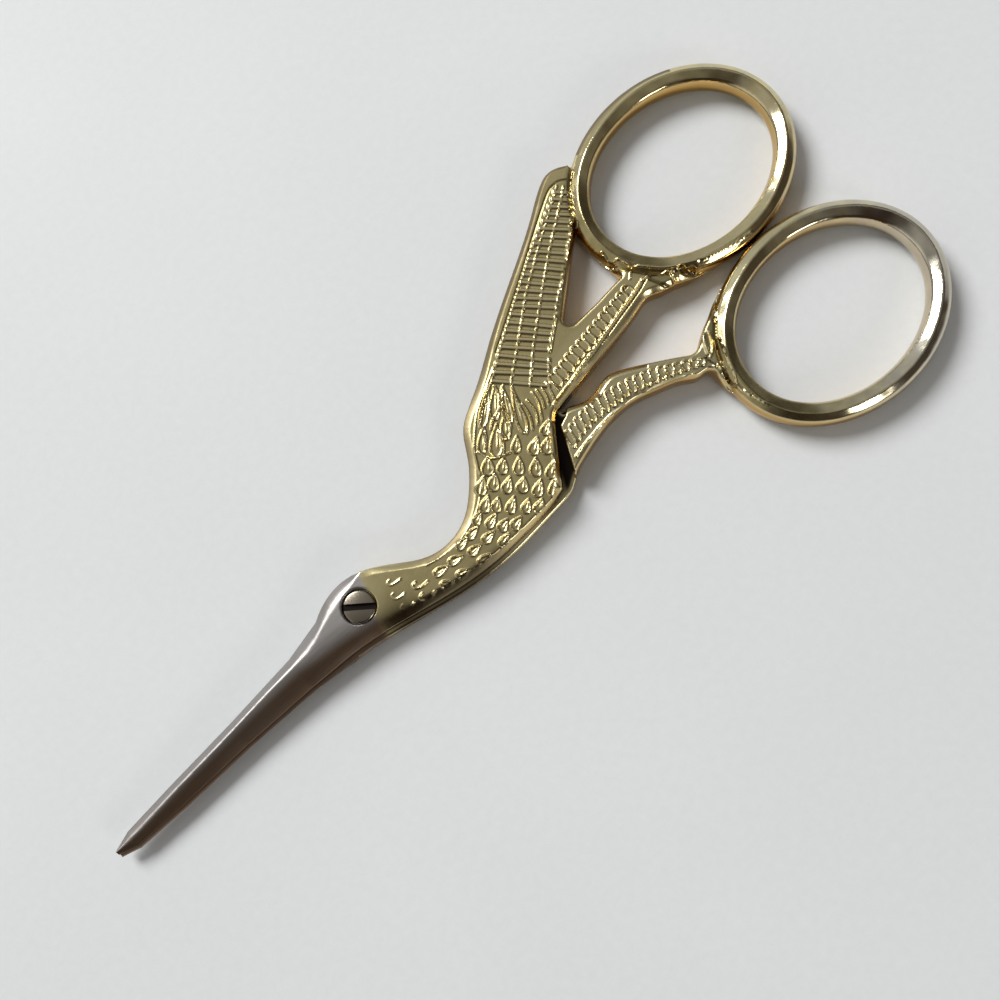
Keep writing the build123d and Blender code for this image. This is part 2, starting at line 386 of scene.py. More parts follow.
# Long shoulder feathers: (tip, blunt end, width), pixels.
SHOULDER_FEATHERS = (
    ((489, 384), (482, 428), 9.0), ((495, 386), (495, 420), 10.0),
    ((503, 388), (510, 424), 9.5), ((512, 388), (525, 432), 9.5),
    ((484, 426), (482, 453), 9.0), ((497, 424), (496, 457), 12.0),
    ((505, 414), (506, 440), 10.0), ((519, 414), (525, 433), 7.5), ((517, 436), (516, 453), 8.5),
)
SHOULDER_LINES = (
    ((504, 383), (501, 390), (502, 400), (506, 412), (510, 421), (512, 430)),
    ((511, 384), (515, 396), (520, 407), (527, 419), (528, 431), (526, 436)),
    ((521, 402), (527, 410), (532, 420), (533, 431)),
    ((526, 399), (532, 406), (537, 413), (538, 426)),
    ((531, 391), (538, 400), (541, 412), (543, 422)),
    ((536, 389), (543, 400), (545, 409)), ((541, 387), (547, 396), (550, 406)),
    ((545, 381), (551, 391), (555, 400)), ((550, 381), (555, 387), (559, 391)),
    ((493, 385), (499, 392), (500, 403)), ((500, 406), (497, 414), (492, 420), (491, 431)),
    ((481, 430), (486, 438), (485, 451)), ((499, 431), (504, 440), (504, 455)),
    ((475, 452), (481, 453), (487, 457), (493, 459), (500, 457), (505, 455), (512, 452)),
    ((500, 428), (504, 436), (508, 439), (511, 433)),
)
WING_ROWS = (383.0, 350.0, 294.0, 250.0, 200.0, 186.0)
WING_COLUMNS = ((492.0, 500.0, 517.0, 531.5, 552.0, 556.0),
                (511.0, 517.0, 526.0, 538.0, 553.0, 557.0),
                (530.5, 533.0, 541.5, 549.5, 561.0, 563.5),
                (549.0, 549.0, 558.5, 566.5, 574.0, 572.0))
FRONT_LEG_LINE = ((556, 380), (562.5, 373), (568, 365.5), (573.5, 358), (579.5, 350.5),
                  (586, 343), (592.5, 335.5), (598, 328.5), (603.5, 321.5), (608.5, 315),
                  (614, 308.5), (620, 301.5), (625.5, 294), (631, 286))
BACK_LEG_LEAN = ((600, 400), (604.5, 408))
BACK_LEG_LINE = ((571, 439), (578, 428), (587, 418), (597, 408.5), (609, 400), (621, 392),
                 (635, 384), (650, 377.5), (665, 372), (680, 367.5), (695, 363.5), (705, 361))
LEFT_BORDER = ((425, 566), (440, 558), (452, 547), (461, 539), (468, 529), (474, 518),
               (478, 508), (480, 498), (481, 488), (483, 478))
SHOULDER_BORDER = ((481, 476), (478, 468), (475.5, 456), (474, 447), (475, 428), (477, 412),
                   (481, 400), (486, 388), (490, 377), (494, 366))
INNER_BORDER = ((480, 428), (482, 415), (485, 401), (490, 385), (493, 376))
WING_GROOVE = ((496, 352), (505, 325), (513, 300), (519, 282), (525, 262), (530, 245),
               (536, 226), (541.5, 209), (547, 193), (552, 185), (560, 180), (572, 179))
RIGHT_BORDER = ((466, 583), (480, 573), (492, 564), (505, 552), (519, 539), (530, 527),
                (541, 515), (550, 504), (555.5, 494), (557, 480), (556, 468), (553.5, 457),
                (552, 444), (550.5, 430), (550, 415), (553.5, 405), (560, 396), (571, 382),
                (580, 368.5), (590, 355), (598.5, 343), (608.5, 328.5), (619, 313.5),
                (630, 298.5), (638, 287), (643, 278))
BACK_LEG_BORDER = ((575, 458), (583, 447), (591, 437), (602, 425), (611, 416), (621, 408),
                   (631, 401), (643, 394.5), (655, 388), (668, 382), (682, 377.5), (697, 374))
# The line across the head where the plating ends.
PLATING_LINE = ((357, 574), (385, 645))
# Each border with its width and height, mm.
BORDERS = ((LEFT_BORDER, 0.3, 0.07), (SHOULDER_BORDER, 0.3, 0.12), (INNER_BORDER, 0.34, 0.2),
           (RIGHT_BORDER, 0.4, 0.26), (BACK_LEG_BORDER, 0.4, 0.26))


def drop_half_width(share, width):
    """Half the width of a drop, from -1 at its blunt end to 1 at its pointed tip."""
    return (1 - share) ** 1.15 * (1 + share) ** 0.5 * width / 2.28


class Relief:
    """The ornament worked over plan points. Heights are in mm above the ground."""

    def __init__(self, points):
        self.at = points
        self.height = np.zeros(len(points))

    def beside(self, line, width):
        """The points by a line: which they are, how many half widths off, how far along."""
        here = near_line(self.at, line, width)
        away, along = line_distance(self.at[here], line)
        return here, away / width * 2.0, along

    def raise_line(self, line, width, height, fade=0.0):
        """A raised rounded line. It sinks away over a share of its length at both ends."""
        here, away, along = self.beside(line, width)
        rise = height * bump(away)
        if fade:
            rise *= smooth_step(along, 0.0, fade) * smooth_step(1 - along, 0.0, fade)
        self.height[here] = np.maximum(self.height[here], rise)

    def bar(self, line, width, height):
        """A raised bar with a flat top and short sloping sides."""
        here, away, _ = self.beside(line, width)
        rise = height * smooth_step(1.0 - away, 0.0, BAR_SIDE)
        self.height[here] = np.maximum(self.height[here], rise)

    def cut_line(self, line, width, depth):
        """A rounded groove."""
        here, away, _ = self.beside(line, width)
        self.height[here] -= depth * bump(away)

    def feather(self, tip, blunt, width):
        """A drop: pointed at its tip, round at its blunt end, with a raised rim and a rib."""
        middle, half = (tip + blunt) / 2, np.linalg.norm(tip - blunt) / 2
        lead = (tip - blunt) / (2 * half)
        side = np.array((-lead[1], lead[0]))
        shares = np.concatenate((np.linspace(-1, -0.8, 5), np.linspace(-0.7, 1, 9)))
        spine = middle + shares[:, None] * half * lead
        wide = drop_half_width(shares, width)[:, None] * side
        edge = np.vstack((spine + wide, (spine - wide)[::-1]))
        here = near_line(self.at, edge, width / 2)
        local = self.at[here] - middle
        share = np.clip(local @ lead / half, -1.0, 1.0)
        sideways = local @ side / np.maximum(drop_half_width(share, width), 1e-6)
        inside = (np.abs(sideways) < 1.0) & (np.abs(local @ lead) < half)
        away, _ = line_distance(self.at[here], edge)
        rim = bump(away / RIM_HALF) * (0.55 + 0.45 * smooth_step(sideways, -0.7, 0.3))
        rib = bump((sideways + 0.22) / 0.26) * smooth_step(share, -0.6, -0.2) * (share < 0.6)
        body = 0.05 + 0.25 * smooth_step(share, 0.0, 0.9) + 0.35 * rib
        laid = FEATHER_HEIGHT * np.maximum(rim, np.where(inside, body, 0.0))
        covered = inside & (away > 0.02)
        self.height[here] = np.where(covered, laid, np.maximum(self.height[here], laid))

    def rib_loop(self, middle, lead, length, width):
        """One oval loop across a leg: a raised rim, a groove inside it and a low core."""
        turns = np.linspace(0, 2 * np.pi, 21)
        side = np.array((-lead[1], lead[0]))
        across = np.sign(np.sin(turns)) * np.abs(np.sin(turns)) ** 0.8
        edge = (middle + np.cos(turns)[:, None] * lead * length / 2
                + across[:, None] * side * width / 2)
        here = near_line(self.at, edge, width / 2)
        local = self.at[here] - middle
        share = np.hypot(local @ lead / (length / 2), local @ side / (width / 2))
        away, _ = line_distance(self.at[here], edge)
        rim = RIB_HEIGHT * bump(away / RIM_HALF)
        groove = -0.7 * RIB_HEIGHT * bump((share - 0.62) / 0.34)
        inside = (share < 1.0) & (away > 0.09)
        self.height[here] = np.where(inside, groove, np.maximum(self.height[here], rim))


def spaced(line, gap):
    """Places a gap apart along a line, each with the line's direction and its share along."""
    lengths = np.linalg.norm(np.diff(line, axis=0), axis=1)
    gone = np.concatenate(((0.0,), np.cumsum(lengths)))

    def at(along):
        return np.stack([np.interp(along, gone, line[:, axis]) for axis in (0, 1)], 1)

    steps = np.arange(0.0, gone[-1], gap)
    lead = at(np.minimum(steps + 0.3, gone[-1])) - at(np.maximum(steps - 0.3, 0.0))
    lead /= np.linalg.norm(lead, axis=1)[:, None]
    return zip(at(steps), lead, steps / gone[-1])


def lay_feathers(work):
    """The drops of the neck and body, each a little different, and the shoulder feathers."""
    turns = np.array(FEATHER_TURNS, float)[::-1]
    sizes = np.array(FEATHER_SIZES, float)[::-1]
    by_hand = np.random.default_rng(7)
    for px, py in NECK_AND_BODY_FEATHERS:
        angle = math.radians(np.interp(py, turns[:, 0], turns[:, 1]) + by_hand.uniform(-9, 9))
        length = np.interp(py, sizes[:, 0], sizes[:, 1]) * by_hand.uniform(0.88, 1.1)
        width = np.interp(py, sizes[:, 0], sizes[:, 2]) * by_hand.uniform(0.78, 0.98)
        reach_x, reach_y = length / 2 * math.cos(angle), length / 2 * math.sin(angle)
        tip, blunt = from_photo(((px + reach_x, py - reach_y), (px - reach_x, py + reach_y)))
        work.feather(tip, blunt, width * PIXEL_MM)
    for tip, blunt, width in SHOULDER_FEATHERS[::-1]:
        work.feather(*from_photo((tip, blunt)), width * PIXEL_MM)


def leg_ribs(work):
    """The oval ribs of both legs. The back leg's ribs all lean the same way."""
    gap, width, longest = FRONT_RIBS
    for place, lead, share in spaced(photo_line(FRONT_LEG_LINE), gap * PIXEL_MM):
        across = np.array((-lead[1], lead[0]))
        work.rib_loop(place, across, (longest - 4.5 * share**2) * PIXEL_MM, width * PIXEL_MM)
    gap, width, longest = BACK_RIBS
    lean = unit(np.diff(from_photo(BACK_LEG_LEAN), axis=0)[0])
    lengths = (longest, 18.0, 15.0, 10.0, 7.0)
    for place, lead, share in spaced(photo_line(BACK_LEG_LINE), gap * PIXEL_MM):
        length = np.interp(share, (0, 0.3, 0.65, 0.85, 1.0), lengths)
        work.rib_loop(place, lean, length * PIXEL_MM, width * PIXEL_MM)


def ornament(points):
    """The height of the whole bird's ornament at plan points, in mm."""
    work = Relief(points)
    lay_feathers(work)
    for line in SHOULDER_LINES:
        work.raise_line(photo_line(line), 0.3, 0.2, 0.08)
    for line in NECK_CRESCENTS:
        work.raise_line(photo_line(line), 0.32, 0.24, 0.1)
    wing_ladder(work)
    leg_ribs(work)
    for border, width, height in BORDERS:
        work.raise_line(photo_line(border), width, height, 0.02)
    work.cut_line(photo_line(WING_GROOVE), 0.3, 0.12)
    work.cut_line(shifted_line(photo_line(RIGHT_BORDER), -0.36), 0.3, 0.16)
    return work.height


def wing_ladder(work):
    """Rows of bars across the wing, with a bead where each crosses a column line."""
    levels = np.array(WING_ROWS)[::-1]
    columns = [np.array(column)[::-1] for column in WING_COLUMNS]
    lean = unit(from_photo((0, -10))[0] - from_photo((0, 0))[0]) * BEAD_REACH
    row = WING_ROWS[0] - 2.0
    while row > WING_ROWS[-1]:
        xs = [np.interp(row, levels, column) for column in columns]
        slant = 0.07 + 0.035 * math.sin(1.7 * row)
        ends = from_photo([(x, row + slant * (x - xs[0])) for x in xs])
        merged = xs[1] - xs[0] < 5.0
        for index in range(1 if merged else 0, 3):
            first = 0 if merged and index == 1 else index
            tall = 0.155 + 0.03 * math.sin(2.3 * row + 1.9 * index)
            work.bar(ends[[first, index + 1]], BAR_WIDTH, tall)
        for index, place in enumerate(ends):
            if index != 1 or not merged:
                tall = 0.17 + 0.035 * math.sin(3.1 * row + 2.0 * index)
                work.raise_line(np.array((place - lean, place + lean)), BAR_WIDTH, tall)
        row -= np.interp(row, (200.0, 370.0), (7.2, 8.5))
    for column in WING_COLUMNS[1:3]:
        work.raise_line(from_photo(list(zip(column, WING_ROWS))), 0.24, 0.15)
    edge = from_photo([(x + 2.2, y) for x, y in zip(WING_COLUMNS[3][1:], WING_ROWS[1:])])
    work.raise_line(edge, 0.2, 0.2)


# Blade ridge, mm: it runs up the blade and round the head to the left edge.
RIDGE = np.array(((-38.9, -1.24), (-38.7, -1.23), (-35.4, -1.12), (-28.9, -0.65), (-20.8, -0.25),
                  (-14.2, 0.19), (-10.5, 0.33), (-7.8, 0.52), (-6.3, 0.85), (-4.5, 1.5),
                  (-3.1, 2.0), (-1.45, 2.4), (0.24, 2.62), (2.0, 2.9), (6.0, 3.0)))
# Blade along its length: (x, thickness, left edge height, right edge height, fullness).
BLADE = np.array(((-38.9, 0.5, 0.10, 0.14, 1.5), (-36.6, 0.61, 0.10, 0.16, 1.5),
                  (-30.0, 0.87, 0.14, 0.22, 1.5), (-20.0, 1.23, 0.22, 0.32, 1.6),
                  (-10.1, 1.6, 0.42, 0.55, 2.0), (-6.0, 1.78, 0.7, 0.8, 3.0),
                  (-2.5, 1.87, 1.0, 0.9, 5.0), (8.0, 1.87, 1.1, 1.0, 6.0)))
RIDGE_BLUR = 0.36


def side_lines(outline):
    """The left and right edge of the head and blade: y for each x."""
    loop = outline.loops[0]
    xs = np.linspace(loop[:, 0].min() + 0.02, 9.0, 400)
    after = np.roll(loop, -1, axis=0)
    lefts, rights = [], []
    for x in xs:
        crossing = (loop[:, 0] - x) * (after[:, 0] - x) <= 0
        crossing &= loop[:, 0] != after[:, 0]
        share = (x - loop[crossing, 0]) / (after[crossing, 0] - loop[crossing, 0])
        ys = loop[crossing, 1] + share * (after[crossing, 1] - loop[crossing, 1])
        lefts.append(ys.max())
        rights.append(ys.min())
    return xs, np.array(lefts), np.array(rights)


def blade_rise(points, sides):
    """The height of a blade and head over its flat face, for plan points."""
    x, y = points[:, 0], points[:, 1]
    xs, lefts, rights = sides
    left, right_side = np.interp(x, xs, lefts), np.interp(x, xs, rights)
    ridge = np.minimum(np.interp(x, RIDGE[:, 0], RIDGE[:, 1]), left - 0.1)
    thick, low_left, low_right, full = (np.interp(x, BLADE[:, 0], column)
                                        for column in BLADE[:, 1:].T)
    up_left = low_left + (thick - low_left) * (left - y) / (left - ridge)
    share = np.clip((ridge - y) / (ridge - right_side), -1.0, 1.0)
    over = thick - (thick - low_right) * np.clip(share, 0, 1) ** full
    over = over + 0.05 * np.clip(-share, 0, 1)
    rise = soft_min(up_left, over, RIDGE_BLUR * thick / MID + 0.08)
    cutting_edge = low_right - 0.12 + 2.2 * np.sqrt(np.clip(y - right_side, 0, 1))
    return soft_min(rise, cutting_edge, 0.1)


def ring_distance(points, side):
    """How far out from a ring's hole each point is, mm."""
    wide, tall = HOLE_HALF
    x, y = points[:, 0] - RING_X, points[:, 1] - side * RING_Y
    turn = np.arctan2(y / tall, x / wide)
    for _ in range(3):
        ex, ey = wide * np.cos(turn), tall * np.sin(turn)
        tx, ty = -wide * np.sin(turn), tall * np.cos(turn)
        turn += ((x - ex) * tx + (y - ey) * ty) / (tx * tx + ty * ty + 1e-9)
    ex, ey = wide * np.cos(turn), tall * np.sin(turn)
    outside = np.hypot(x, y) > np.hypot(ex, ey)
    return np.hypot(x - ex, y - ey) * np.where(outside, 1.0, -1.0)


def ring_rise(out, turn):
    """The height of a ring's bar over the middle plane: a long inner slope, a crest and a
    rounder outer side, a little uneven from hand polishing."""
    crest = RING_CREST + 0.12 * np.sin(2 * turn + 0.6) + 0.05 * np.sin(5 * turn + 2.0)
    peak = MID * (0.99 + 0.006 * np.sin(3 * turn))
    inner = np.clip((crest - out) / crest, 0.0, 1.0)
    outer = np.clip((out - crest) / (RING_BAR - crest), 0.0, 1.0)
    inner_slope = 1.0 - (0.40 + 0.07 * np.sin(4 * turn + 1.2)) * inner
    inner_side = np.minimum(inner_slope, 1.12 * (1 - inner**2.2) ** 0.55)
    outer_side = soft_min(1.0 - 0.42 * outer, 1.08 * (1 - outer**2.1) ** 0.55, 0.14)
    rise = peak * np.where(out < crest, inner_side, outer_side)
    waves = np.sin(13 * turn + 2 * out) + np.sin(23 * turn - 3 * out + 1.0)
    waves = waves + 0.7 * np.sin(37 * turn + 1.5 * out)
    return np.minimum(rise + RING_WAVES * waves * smooth_step(rise, 0.2, 1.0), MID)


def plate_rise(distance, bevel, edge, rise):
    """The height of a plate over its middle: a sloping rim up to a level field."""
    share = np.clip(distance / bevel, 0.0, 1.0)
    slope = edge + (rise - edge) * (0.82 * share + 0.18 * (1 - (1 - share) ** 3))
    round_over = edge - 0.25 + 1.7 * np.sqrt(np.clip(distance, 0, None))
    return soft_min(slope, np.minimum(round_over, rise + 0.2), 0.08)


# The plates' sloping rims: x along the bird, then y, width or edge height there, mm.
LEFT_EDGE = ((0, 10, 16, 19, 22, 26, 48, 53), (3.5, -1.2, -1.8, -0.4, 5.5, 9.0, 21.5, 23))
LEFT_BEVEL = ((24, 28, 34, 50), (0.85, 0.85, 0.62, 0.55))
RIGHT_BEVEL = ((0, 8, 20, 26), (1.15, 1.05, 0.5, 0.3))
LEFT_EDGE_RISE = ((5, 12, 24, 29, 34), (1.0, 1.25, 1.25, 0.95, 0.7))
RIGHT_EDGE_RISE = ((0, 8, 18, 24), (0.8, 0.7, 0.8, 1.0))
LEG_BEVEL = 0.75
TRIANGLE_BEVEL = 0.22


def on_left_edge(x, y):
    """True on the bird's left edge: its back, its shoulder and the wing's outer side."""
    return y > np.interp(x, *LEFT_EDGE) - 0.9


def bevel_shape(place):
    """How wide the sloping rim is and how high its edge, by the nearest place on the edge, mm."""
    x, y = place[:, 0], place[:, 1]
    on_left = on_left_edge(x, y)
    width = np.where(on_left, np.interp(x, *LEFT_BEVEL), np.interp(x, *RIGHT_BEVEL))
    edge = np.where(on_left, np.interp(x, *LEFT_EDGE_RISE), np.interp(x, *RIGHT_EDGE_RISE))
    lower_leg = (x > 30.5) & (y < 5.0) & (y > -2)
    in_triangle = (x > 32) & (y > 6.0) & ~on_left
    width = np.where(in_triangle, TRIANGLE_BEVEL, np.where(lower_leg, LEG_BEVEL, width))
    return width, edge


def grid_points(outline, step, wanted):
    """A honeycomb of points inside an outline, where wanted says so."""
    low = np.vstack(outline.loops).min(0)
    high = np.vstack(outline.loops).max(0)
    rows = np.arange(low[1], high[1], step * math.sqrt(3) / 2)
    columns = np.arange(low[0], high[0], step)
    grid = np.stack(np.meshgrid(columns, rows), 2)
    grid[1::2, :, 0] += step / 2
    points = grid.reshape(-1, 2)
    points = points[wanted(points)]
    points = points[outline.holds(points)]
    away, _ = outline.nearest(points)
    return points[away > INSETS[-1] + step * 0.6]


def clear_of(points, lines, gap):
    """The points that keep a gap from every line."""
    keep = np.ones(len(points), bool)
    for line in lines:
        here = near_line(points, line, 1.0)
        away, _ = line_distance(points[here], line)
        keep[here[away < gap]] = False
    return points[keep]


def triangles(outline, points, lines):
    """Plan points and triangles that fill an outline and keep to its lines."""
    places, edges = [], []
    for loop in outline.loops:
        first, count = len(places), len(loop)
        places += loop.tolist()
        edges += [(first + index, first + (index + 1) % count) for index in range(count)]
    for line in lines:
        first = len(places)
        places += line.tolist()
        edges += [(first + index, first + index + 1) for index in range(len(line) - 1)]
    places += points.tolist()
    found = delaunay_2d_cdt([Vector(place) for place in places], edges, [], 0, 1e-6, False)
    places = np.array([tuple(place) for place in found[0]])
    faces = np.array(found[2])
    return places, faces[outline.holds(places[faces].mean(1))]


def in_scene(name, data):
    """A new object of the scene that holds a mesh, a lamp or a camera."""
    made = bpy.data.objects.new(name, data)
    bpy.context.scene.collection.objects.link(made)
    return made


def solid_mesh(name, places, faces, low, high, marks):
    """A closed mesh with the same triangles above and below, joined by walls at the edges."""
    used, faces = np.unique(faces, return_inverse=True)
    faces = faces.reshape(-1, 3)
    places, low, high = places[used], low[used], high[used]
    count = len(places)
    corners = places[faces]
    first, second = corners[:, 1] - corners[:, 0], corners[:, 2] - corners[:, 0]
    clockwise = first[:, 0] * second[:, 1] - first[:, 1] * second[:, 0] < 0
    faces[clockwise] = faces[clockwise][:, ::-1]
    runs = np.vstack((faces[:, (0, 1)], faces[:, (1, 2)], faces[:, (2, 0)]))
    forward = runs[:, 0].astype(np.int64) * count + runs[:, 1]
    back = runs[:, 1].astype(np.int64) * count + runs[:, 0]
    rim = runs[~np.isin(forward, back)]
    walls = np.stack((rim[:, 0] + count, rim[:, 1] + count, rim[:, 1], rim[:, 0]), 1)
    upper = np.column_stack((places, high)) * MM
    lower = np.column_stack((places, low)) * MM
    mesh = bpy.data.meshes.new(name)
    mesh.from_pydata(np.vstack((upper, lower)).tolist(), [],
                     faces.tolist() + (faces[:, ::-1] + count).tolist() + walls.tolist())
    for mark, values in marks.items():
        layer = mesh.attributes.new(mark, "FLOAT", "POINT")
        values = values[used]
        layer.data.foreach_set("value", np.concatenate((values, values)).astype(np.float32))
    mesh.shade_smooth()
    mesh.set_sharp_from_angle(angle=math.radians(62))
    mesh.validate()
    return in_scene(name, mesh)


def decorated(points):
    """True over the bird's body, wing and legs, where the mesh is finest."""
    x, y = points[:, 0], points[:, 1]
    low, high = np.interp(x, *DECORATED_LOW), np.interp(x, *DECORATED_HIGH)
    return (x > 2.5) & (x < 53.5) & (y > low) & (y < high)


def circle(radius, step=0.12):
    """A closed circle round the pivot."""
    count = math.ceil(2 * math.pi * radius / step)
    turns = np.linspace(0, 2 * math.pi, count + 1)
    return np.stack((np.cos(turns), np.sin(turns)), 1) * radius


def half_points(outline, lines):
    """The points of a half's mesh: rows along its edge, then finest under the ornament."""
    fine = grid_points(outline, FINE_STEP, decorated)
    plain = grid_points(outline, PLAIN_STEP, lambda points: ~decorated(points))
    points = np.vstack((outline.insets(INSETS), fine, plain))
    return clear_of(points, lines, CLEAR_OF_LINES)


def foot_lines(points, ring_side):
    """Raised lines and grooves where a leg meets its ring, mm."""
    work = Relief(points)
    for line, width, height in FRONT_FOOT_LINES if ring_side > 0 else BACK_FOOT_LINES:
        if height > 0:
            work.raise_line(photo_line(line), width, height, 0.06)
        else:
            work.cut_line(photo_line(line), width, -height)
    return work.height


def half_rise(points, edge, sides, ring_side):
    """How far a half's surface stands above the middle plane, and the ornament's own height.
    The lower half's blade is the upper one's, mirrored between its own edges."""
    x = points[:, 0]
    distance, place = edge
    bevel, edge_rise = bevel_shape(place)
    level = np.interp(x, (2.0, 5.0, 20.0), (TOP, FIELD + 0.08, FIELD)) - MID
    inner = smooth_step(distance, bevel * 0.55, bevel * 0.95) * (x <= PLATE_END)
    relief = ornament(points) * inner
    plate = plate_rise(distance, bevel, edge_rise, level) + relief
    blade_points = points
    if ring_side < 0:
        xs, lefts, rights = sides
        middle = np.interp(x, xs, lefts) + np.interp(x, xs, rights)
        blade_points = np.stack((x, middle - points[:, 1]), 1)
    blade = blade_rise(blade_points, sides) + (PARTING - MID)
    share = smooth_step(x, *BLADE_TO_PLATE)
    rise = np.where(x < BLADE_END, blade * (1 - share) + plate * share, plate)
    out = ring_distance(points, ring_side)
    foot = smooth_step(distance + out - RING_BAR, 0.1, 0.8) * smooth_step(out, 1.6, 2.8)
    foot = np.where(out > 4.0, 1.0, foot)
    turn = np.arctan2(points[:, 1] - ring_side * RING_Y, x - RING_X)
    ring = np.where(out < RING_BAR + 0.05, ring_rise(out, turn), 0.0)
    rise = np.where(x > RING_START, soft_max(rise * foot, ring, 0.12), rise)
    feet = foot_lines(points, ring_side) * smooth_step(distance, 0.0, 0.2)
    return np.clip(rise + feet, 0.02, TOP - MID), relief + feet


def steel_share(points):
    """1 where the steel is bare, 0 where it is plated, with a soft line across the head."""
    line = from_photo(PLATING_LINE, TOP)
    lead = unit(line[1] - line[0])
    away = (points - line[0]) @ np.array((lead[1], -lead[0]))
    return smooth_step(away, -1.6, 1.0)


def flank_share(points, sides):
    """1 on the warm brown flank of the blade, partly real staining and partly painted shade and
    dark reflection; 0 on its ridge and the head's flat top.
    """
    x = points[:, 0]
    xs, _, rights = sides
    ridge, right_side = np.interp(x, RIDGE[:, 0], RIDGE[:, 1]), np.interp(x, xs, rights)
    share = (ridge - points[:, 1]) / np.maximum(ridge - right_side, 0.2)
    start = np.interp(x, (-30, -10, -2, 8), (0.12, 0.2, 0.6, 0.75))
    return smooth_step(share, start, start + 0.3)


def worn_share(points, ring_side):
    """Where the plating of a ring is paler, more on the lower half's ring."""
    lead = unit((0.9, -0.45))
    place = (points - np.array((RING_X, ring_side * RING_Y))) @ lead / (HOLE_HALF[0] + RING_BAR)
    most = 0.95 if ring_side < 0 else 0.3
    return most * smooth_step(place, -0.6, 0.9) * (points[:, 0] > RING_METAL_START)


def slope_shade_share(edge):
    """Painted shade, dark brown, on the neck's lower slope and the bird's left edge, and that edge
    alone.
    """
    distance, place = edge
    x, y = place[:, 0], place[:, 1]
    below = y < np.interp(x, (0, 10, 16, 20), (0.0, -3.0, -4.0, -3.0)) - 0.5
    along = smooth_step(x, -2.0, 3.0) * smooth_step(x, 21.0, 12.0)
    neck = np.where(below, along * smooth_step(distance, 1.5, 0.7), 0.0)
    back = 0.92 * smooth_step(x, 3.0, 11.0) * smooth_step(distance, 0.95, 0.65)
    back = back * on_left_edge(x, y)
    return np.maximum(neck, back), back


def field_share(points, edge):
    """1 on the level ground of the plate, 0 on its sloping rim, rings and head."""
    distance, place = edge
    bevel, _ = bevel_shape(place)
    x = points[:, 0]
    inner = smooth_step(distance, bevel * 0.8, bevel * 1.1)
    inner *= smooth_step(x, 0.5, 4.0) * smooth_step(x, 53.0, 51.5)
    for line in (FRONT_LEG_LINE, BACK_LEG_LINE):
        away, _ = line_distance(points, photo_line(line))
        inner *= 0.45 + 0.55 * smooth_step(away, 1.2, 2.4)
    return inner


def polish_share(points, ring_side):
    """1 on the polished bar of a ring, 0 elsewhere."""
    bar = smooth_step(ring_distance(points, ring_side), 3.4, 2.6)
    return bar * (points[:, 0] > RING_METAL_START)


def without_holes(loops, ring_side):
    """An outline that leaves out the finger hole and the screw's hole."""
    kept = []
    for loop in loops:
        middle = (loop.min(0) + loop.max(0)) / 2
        around_finger = np.linalg.norm(middle - np.array((RING_X, ring_side * RING_Y))) < 1.0
        around_screw = np.linalg.norm(middle) < 0.5
        if not around_finger and not around_screw:
            kept.append(loop)
    return Outline(kept)


def arc_line(radius, low, high, step=0.1):
    """A part of a circle round the pivot."""
    turns = np.linspace(low, high, math.ceil(radius * (high - low) / step))
    return np.stack((np.cos(turns), np.sin(turns)), 1) * radius


def half_piece(name, outline, plate_edge, ring_side, lines, surfaces):
    """One half in one closed mesh, with the marks that its metal reads. surfaces gives its
    top, its underside and its gap shade, which is painted shade."""
    places, faces = triangles(outline, half_points(outline, lines), lines)
    sides, edge = side_lines(outline), plate_edge.nearest(places)
    rise, relief = half_rise(places, edge, sides, ring_side)
    high, low, gap_shade = surfaces(places, rise, edge[0])
    slope_shade, satin_edge = slope_shade_share(edge)
    marks = {"raised": relief / FEATHER_HEIGHT, "steel": steel_share(places),
             "flank": flank_share(places, sides), "gap_shade": gap_shade,
             "worn": worn_share(places, ring_side), "ground": field_share(places, edge),
             "slope_shade": slope_shade, "satin": satin_edge, "polish": polish_share(places, ring_side)}
    return solid_mesh(name, places, faces, low, high, marks)


def front_piece():
    """The upper half: blade, head, body, wing, leg and ring in one."""
    loops = section_loops("front_half", FRONT_CUT)
    plate_edge = without_holes(loops, 1)
    lines = [arc_line(ARC + shift, math.radians(-12), math.radians(48))
             for shift in (-STEP_WALL / 2, STEP_WALL / 2)]
    lines += [circle(SEAT_RADIUS + shift) for shift in (-STEP_WALL / 2, STEP_WALL / 2, SEAT_RIM)]

    def surfaces(places, rise, edge):
        out = np.linalg.norm(places, axis=1)
        high = MID + rise
        rim = smooth_step(out, SEAT_RADIUS, SEAT_RADIUS + SEAT_RIM)
        rim_top = TOP - SEAT_BEVEL + (SEAT_BEVEL - 0.02) * rim
        high = np.where(out < SEAT_RADIUS + SEAT_RIM + 0.01, np.minimum(high, rim_top), high)
        high = np.where(out < SEAT_RADIUS, SEAT_FLOOR, high)
        low = np.where(out > ARC, MID - rise, PARTING)
        # The edge in the gap behind the body is painted near black as gap shade: painted shade.
        by_gap = ((places > BODY_GAP[0]) & (places < BODY_GAP[1])).all(1)
        return high, low, np.where(by_gap & (edge < 0.04), 1.0, 0.0)

    return half_piece("front_half_dressed", Outline(loops), plate_edge, 1, lines, surfaces)


def step_run(outline, upper):
    """The edge of the lower half's raised part, as an open line that crosses the outline."""
    loop = upper.loops[0]
    away, _ = outline.nearest(loop)
    inner = away > 0.05
    start = int(np.nonzero(inner & ~np.roll(inner, 1))[0][0])
    run = np.roll(loop, -start, axis=0)[:int(np.argmin(np.roll(inner, -start)))]
    first, last = unit(run[0] - run[1]), unit(run[-1] - run[-2])
    return np.vstack((run[:1] + first * 0.4, run, run[-1:] + last * 0.4))


